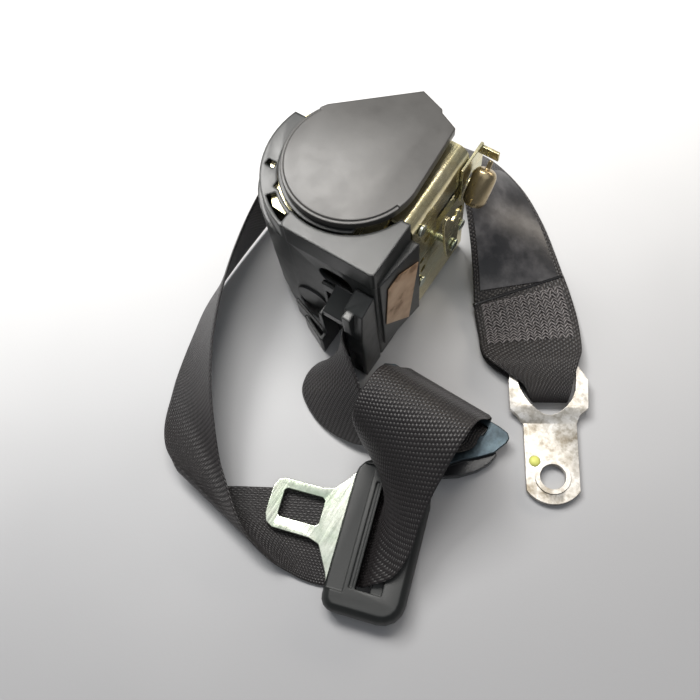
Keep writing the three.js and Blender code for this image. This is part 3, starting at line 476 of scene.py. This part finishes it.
# ---------------------------------------------------------------- what is sewn and stuck on the strap
def layer_on(samples, start, end, inset, lift, thickness, name, mat, replaced, curl):
    """A thin narrower layer that follows the strap between two distances from its far end."""
    total = samples[-1][2]
    picked = [x for x in samples if total - start <= x[2] <= total - end]
    out = []
    for k, (a, b, s) in enumerate(picked):
        near = picked[max(k - 1, 0)]
        far = picked[min(k + 1, len(picked) - 1)]
        along = ((far[0] + far[1]) - (near[0] + near[1])).normalized()
        normal = along.cross((b - a).normalized()).normalized()
        if normal.z < 0:
            normal = -normal
        up = normal * (lift + curl * math.sin(k * 0.35))
        out.append((a.lerp(b, inset) + up, b.lerp(a, inset) + up, s))
    mesh = strap_mesh(name, out, thickness, columns=12, bead=0.0)
    return new_object(name, mesh, mat, "retractor", replaced), out


def stitches(samples, start, end, name):
    """Rows of zigzag lock stitches through the doubled webbing."""
    rng = random.Random(JITTER_SEED)
    total = samples[-1][2]
    picked = [x for x in samples if total - start <= x[2] <= total - end]
    run0, run1 = picked[0][2], picked[-1][2]

    def at(share, s):
        k = min(len(picked) - 2, max(0, int((s - run0) / (run1 - run0) * (len(picked) - 1))))
        a, b, _ = picked[k]
        c, d, _ = picked[k + 1]
        f = min(1, max(0, (s - picked[k][2]) / max(1e-6, picked[k + 1][2] - picked[k][2])))
        point = a.lerp(b, share).lerp(c.lerp(d, share), f)
        along = ((c + d) - (a + b)).normalized()
        normal = along.cross((b - a).normalized()).normalized()
        return point, normal if normal.z > 0 else -normal

    verts, faces = [], []

    def thread(p, q, normal):
        along = (q - p).normalized()
        side = normal.cross(along).normalized()
        base = len(verts)
        for share in THREAD_SHARES:
            middle = p.lerp(q, share) + normal * (THREAD_ARCH * math.sin(math.pi * share) - THREAD_SINK)
            width = THREAD_R * (0.45 + 0.55 * math.sin(math.pi * share))
            for n in range(THREAD_SIDES):
                angle = math.tau * n / THREAD_SIDES
                spoke = side * width * math.cos(angle) + normal * width * math.sin(angle)
                verts.append((middle + spoke) * MM)
        for r in range(len(THREAD_SHARES) - 1):
            ring = base + r * THREAD_SIDES
            above = ring + THREAD_SIDES
            for n in range(THREAD_SIDES):
                m = (n + 1) % THREAD_SIDES
                faces.append((ring + n, ring + m, above + m, above + n))
        top = base + (len(THREAD_SHARES) - 1) * THREAD_SIDES
        faces.append(tuple(base + n for n in reversed(range(THREAD_SIDES))))
        faces.append(tuple(top + n for n in range(THREAD_SIDES)))

    for r in range(STITCH_ROWS):
        s0 = run0 + (run1 - run0) * (r + 0.1) / STITCH_ROWS
        reach = (run1 - run0) / STITCH_ROWS * 1.35
        last = None
        for n in range(STITCHES_PER_ROW + 1):
            share = 0.07 + 0.86 * (n + rng.uniform(-0.18, 0.18)) / STITCHES_PER_ROW
            s = s0 + (reach if n % 2 else 0) + rng.uniform(-0.25, 0.25)
            s = min(run1 - 0.1, max(run0 + 0.1, s))
            point, normal = at(share, s)
            point = point + normal * SEW_LIFT
            if last is not None:
                thread(last, point, normal)
            last = point
    mesh = bpy.data.meshes.new(name)
    mesh.from_pydata([tuple(v) for v in verts], [], faces)
    mesh.update()
    mesh.shade_smooth()
    new_object(name, mesh, THREAD, "retractor", ("end_stitching",))


stitches(strap_samples, 30, 2.5, "end_lock_stitches")

# the shiny melted end of the webbing
SEAL_STEP = 0.45
SEAL_T = 1.75
cut_a, cut_b, _ = strap_samples[-1]
seal_rows = []
for k in range(4):
    back = (strap_samples[-4][0] - cut_a).normalized() * (0.5 - k * SEAL_STEP)
    seal_rows.append((cut_a + back, cut_b + back, k * SEAL_STEP))
seal_mesh = strap_mesh("heat_cut_end", seal_rows, SEAL_T, columns=40, bead=0.0)
new_object("heat_cut_end", seal_mesh, LINER_BLACK, "retractor")

main_layer = rails_of(ANCHOR_RUN[5:])
film, film_path = layer_on(main_layer, start=90, end=24, inset=0.07, lift=0.95, thickness=0.22,
                           name="blank_film_label", mat=FILM,
                           replaced=("blank_webbing_label",), curl=0.05)


# ---------------------------------------------------------------- retractor
softened("spring_cassette_cover", COVER_GREY, "retractor", 0.7, 4)
softened("spring_cassette_base", BODY_BLACK, "retractor", 0.4)
softened("webbing_cover", BODY_BLACK, "retractor", 0.7, 4)
softened("webbing_guide", BODY_BLACK, "retractor", 0.7, 3)
softened("steel_frame", YELLOW_ZINC, "retractor", 0.25, 2)
softened("sensor_bracket", YELLOW_ZINC, "retractor", 0.3, 2)
softened("sensor_lever", YELLOW_ZINC, "lever", 0.3, 2)
softened("sensor_weight", BRASS, "weight", 0.6, 3, 20)
for n in (1, 2, 3):
    softened(f"frame_rivet_{n}", PALE_ZINC, "retractor", 0.4, 2)
softened("lever_pin", PALE_ZINC, "retractor", 0.3, 2)
softened("spool", NYLON, "spool_group", 0.3, 2)
repaint("wound_webbing", DARK)
for name, look, slot_name in (
    ("ratchet_wheel", PALE_ZINC, "zinc_steel"),
    ("lock_clutch", NYLON, "nylon"),
    ("inertia_disc", DARK, "dark_plastic"),
    ("torsion_bar", PALE_ZINC, "zinc_steel"),
    ("spring_arbor", NYLON, "nylon"),
    ("lower_spool_bush", NYLON, "nylon"),
    ("upper_spool_bush", NYLON, "nylon"),
    ("locking_pawl", PALE_ZINC, "zinc_steel"),
    ("pawl_pin", PALE_ZINC, "zinc_steel"),
    ("spiral_spring", SPRING, "spring_steel"),
    ("blank_side_label", PAPER, "paper_label"),
):
    repaint(name, look)

# ---------------------------------------------------------------- guide ring, tongue and end anchor
softened("guide_ring_plate", BLUED, "guide_ring", 0.5, 3)
softened("guide_ring_liner", LINER_BLACK, "guide_ring", 0.9, 4)
softened("tongue_blade", PALE_ZINC, "tongue", 0.45, 3)
softened("tongue_grip", GRIP_BLACK, "tongue", 0.9, 4)
softened("anchor_plate", WORN_ZINC, "end_anchor", 0.35, 3)


def paint_dot():
    """A dab of paint beside the bolt hole. The record has no slot for paint, so it is given none."""
    spot = anchor_point(7.4, 8.1, 3.32)
    rim = []
    for n in range(PAINT_SIDES):
        angle = math.tau * n / PAINT_SIDES
        reach = PAINT_R * (1 + 0.09 * noise.noise(Vector((math.cos(angle) * 2, math.sin(angle) * 2, 4.1))))
        rim.append((reach * math.cos(angle), reach * math.sin(angle)))
    verts = [(spot[0], spot[1], spot[2] + 0.14)]
    for share, height in ((0.9, 0.11), (1.0, 0.0)):
        verts += [(spot[0] + x * share, spot[1] + y * share, spot[2] + height) for x, y in rim]
    outer = 1 + PAINT_SIDES
    faces = []
    for n in range(PAINT_SIDES):
        faces.append((0, 1 + n, 1 + (n + 1) % PAINT_SIDES))
    for n in range(PAINT_SIDES):
        m = (n + 1) % PAINT_SIDES
        faces.append((1 + n, outer + n, outer + m, 1 + m))
    faces.append(tuple(reversed(range(outer, outer + PAINT_SIDES))))
    mesh = bpy.data.meshes.new("paint_dot")
    mesh.from_pydata([tuple(Vector(v) * MM) for v in verts], [], faces)
    mesh.update()
    smooth(mesh, 60)
    new_object("paint_dot", mesh, PAINT, "end_anchor")


paint_dot()


# ---------------------------------------------------------------- stage, light and camera
def floor_look():
    look = Look("pale_surface")
    # The floor's colour is painted light: brighter towards the back left (+Y, -X) and darker grey towards
    # the front right, a painted falloff of the lamps.
    place = look.node("SeparateXYZ", {"Vector": look.coords()})
    light_falloff = look.math("SUBTRACT", look.math("MULTIPLY", place.outputs["Y"], 0.9), place.outputs["X"])
    light_falloff = look.math("ADD", light_falloff, look.math("MULTIPLY", look.noise(5, 3), 0.12))
    painted_falloff = look.node("MapRange", {"Value": light_falloff, "From Min": -0.25, "From Max": 0.3},
                     interpolation_type="SMOOTHSTEP").outputs["Result"]
    look.set(Base_Color=look.ramp(painted_falloff, (0.0, (0.36, 0.362, 0.372)), (1.0, (0.80, 0.805, 0.81))))
    look.set(Roughness=0.7)
    look.bump(look.noise(900, 2), 0.12, 0.0002)
    return look.mat


floor_mesh = bpy.data.meshes.new("pale_floor")
corners = ((-1, -1), (1, -1), (1, 1), (-1, 1))
floor_corners = [(x * FLOOR_SIDE, y * FLOOR_SIDE, -FLOOR_DROP) for x, y in corners]
floor_mesh.from_pydata(floor_corners, [], [(0, 1, 2, 3)])
floor = bpy.data.objects.new("pale_floor", floor_mesh)
floor_mesh.materials.append(floor_look())
bpy.context.scene.collection.objects.link(floor)


def lamp(name, at, aim, size, watts, color=(1, 1, 1), height=None):
    data = bpy.data.lights.new(name, "AREA")
    data.energy = watts
    data.color = color
    data.shape = "RECTANGLE"
    data.size = size
    data.size_y = height or size
    made = bpy.data.objects.new(name, data)
    made.location = at
    made.rotation_euler = (Vector(aim) - Vector(at)).to_track_quat("-Z", "Y").to_euler()
    bpy.context.scene.collection.objects.link(made)


FORWARD = Vector((-0.265, 0.265, -0.927)).normalized()
CAM_AT = Vector((129.2, -154.6, 381.1)) * MM
ROLL = math.radians(12)
level = Vector((0.7071, 0.7071, 0)).normalized()
over = level.cross(FORWARD).normalized()
right = level * math.cos(ROLL) - over * math.sin(ROLL)
up = right.cross(FORWARD).normalized()


def seen_from(across, upward, back):
    """A place given in the camera's own directions, in metres from the middle of the object."""
    return Vector((0.02, -0.045, 0.0)) + right * across + up * upward - FORWARD * back


lamp("window_key", seen_from(-0.42, 0.75, 0.62), (0.0, -0.02, 0.03), 0.42, 9.0, (1.0, 0.985, 0.96), 0.4)
lamp("window_glare", seen_from(-0.05, 0.56, 0.66), (0.02, -0.04, 0.03), 0.34, 3.6, (1.0, 0.97, 0.93), 0.2)
lamp("ceiling_fill", seen_from(0.1, 0.15, 1.25), (0.02, -0.04, 0.0), 1.3, 3.4, (0.96, 0.98, 1.0))
lamp("back_strip", seen_from(0.55, 0.62, 0.22), (0.05, 0.0, 0.06), 0.5, 1.8, (1.0, 0.9, 0.78), 0.16)

world = bpy.data.worlds.new("studio")
bpy.context.scene.world = world
world.use_nodes = True
world.node_tree.nodes["Background"].inputs["Color"].default_value = (0.9, 0.93, 1.0, 1)
world.node_tree.nodes["Background"].inputs["Strength"].default_value = 0.15

camera_data = bpy.data.cameras.new("camera")
camera_data.sensor_width = 36
camera_data.lens = 41.14
camera = bpy.data.objects.new("camera", camera_data)
camera.location = CAM_AT
camera.rotation_mode = "QUATERNION"
axes = Matrix((right, up, -FORWARD)).transposed()
camera.rotation_quaternion = axes.to_quaternion()
bpy.context.scene.collection.objects.link(camera)
bpy.context.scene.camera = camera
bpy.context.scene.view_settings.view_transform = "Standard"
